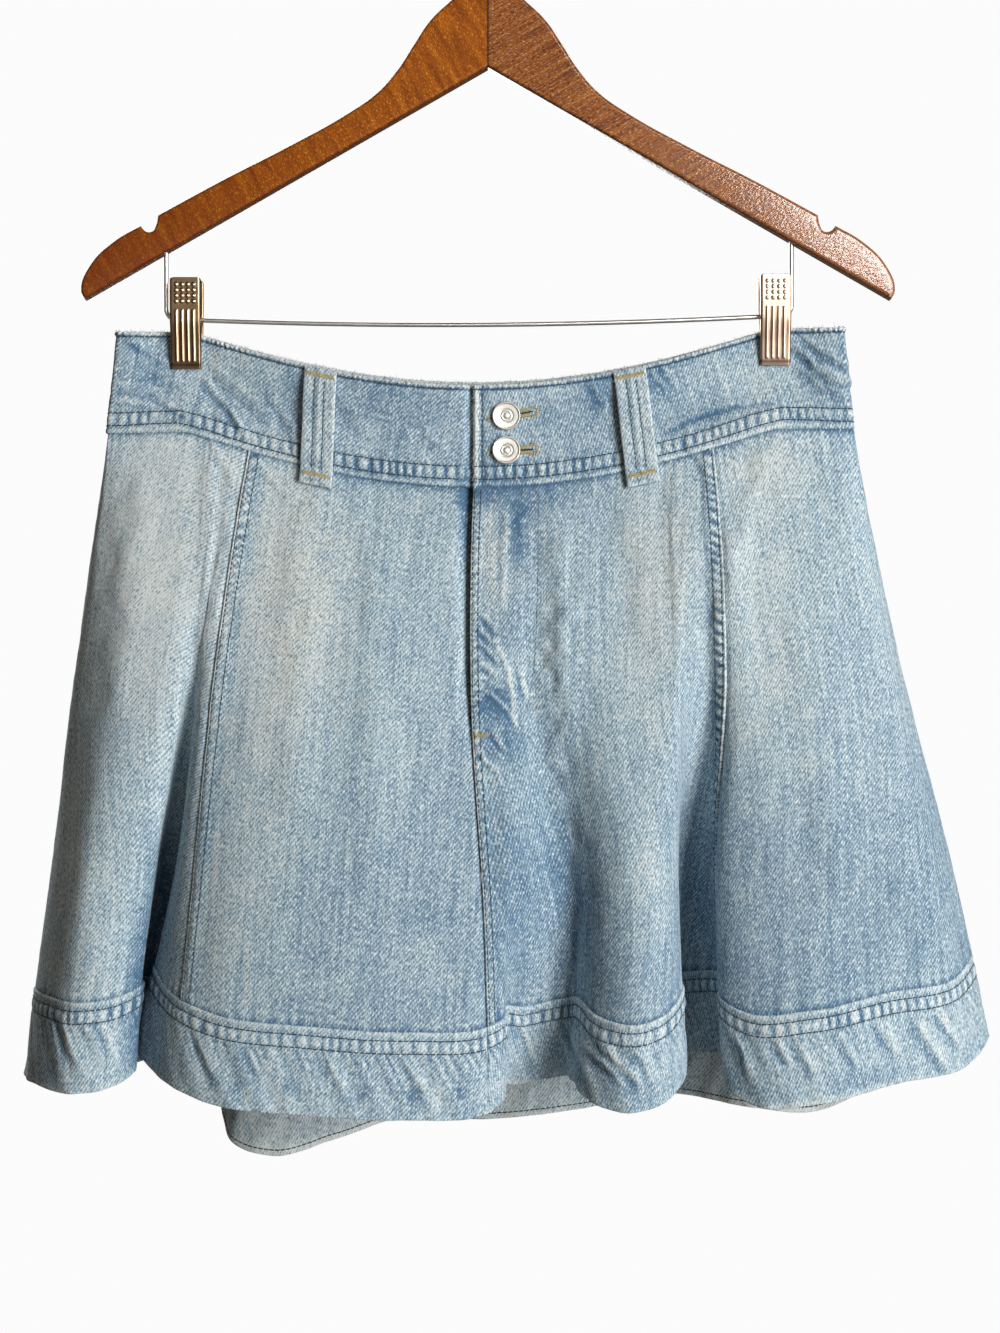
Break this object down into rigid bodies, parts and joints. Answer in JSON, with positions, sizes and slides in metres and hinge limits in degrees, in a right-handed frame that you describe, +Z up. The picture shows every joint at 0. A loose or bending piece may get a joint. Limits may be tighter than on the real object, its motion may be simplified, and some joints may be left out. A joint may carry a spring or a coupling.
{
  "type": "denim skirt on clip hanger",
  "caption": "Flared panelled denim skirt with a buttoned waistband and doubled hem band, hanging by its waistband from a wooden clip hanger.",
  "frame": {"origin": "inside top of the hanger's hook, where it rests on a rail", "axes": "+Z up, -Y out of the skirt's front, +X to the wearer's left"},
  "size_m": [0.5276, 0.1249, 0.7177],
  "materials": {
    "denim": "stonewashed light blue cotton twill, matt, worn pale at seams",
    "button_metal": "tumbled white nickel, soft shine",
    "hanger_wood": "red-brown hardwood under clear gloss varnish",
    "hanger_wire": "bright drawn steel wire",
    "clip_metal": "stamped steel, warm nickel plating"
  },
  "bodies": {
    "root": {"waistband_front_left": "denim", "waistband_front_right": "denim", "waistband_back": "denim", "side_front_left": "denim", "front_left": "denim", "front_right": "denim", "side_front_right": "denim", "back_left": "denim", "back_right": "denim", "hem_band_front_left": "denim", "hem_band_front_right": "denim", "hem_band_back": "denim", "belt_loop_front_right": "denim", "belt_loop_front_left": "denim", "belt_loop_back_right": "denim", "belt_loop_back_centre": "denim", "belt_loop_back_left": "denim", "button_upper": "button_metal", "button_lower": "button_metal", "hanger_arm_left": "hanger_wood", "hanger_arm_right": "hanger_wood", "hanger_hook": "hanger_wire", "hanger_bar": "hanger_wire", "clip_left_spring": "hanger_wire", "clip_right_spring": "hanger_wire", "clip_left_front": "clip_metal", "clip_left_back": "clip_metal", "clip_right_front": "clip_metal", "clip_right_back": "clip_metal"}
  },
  "joints": []
}
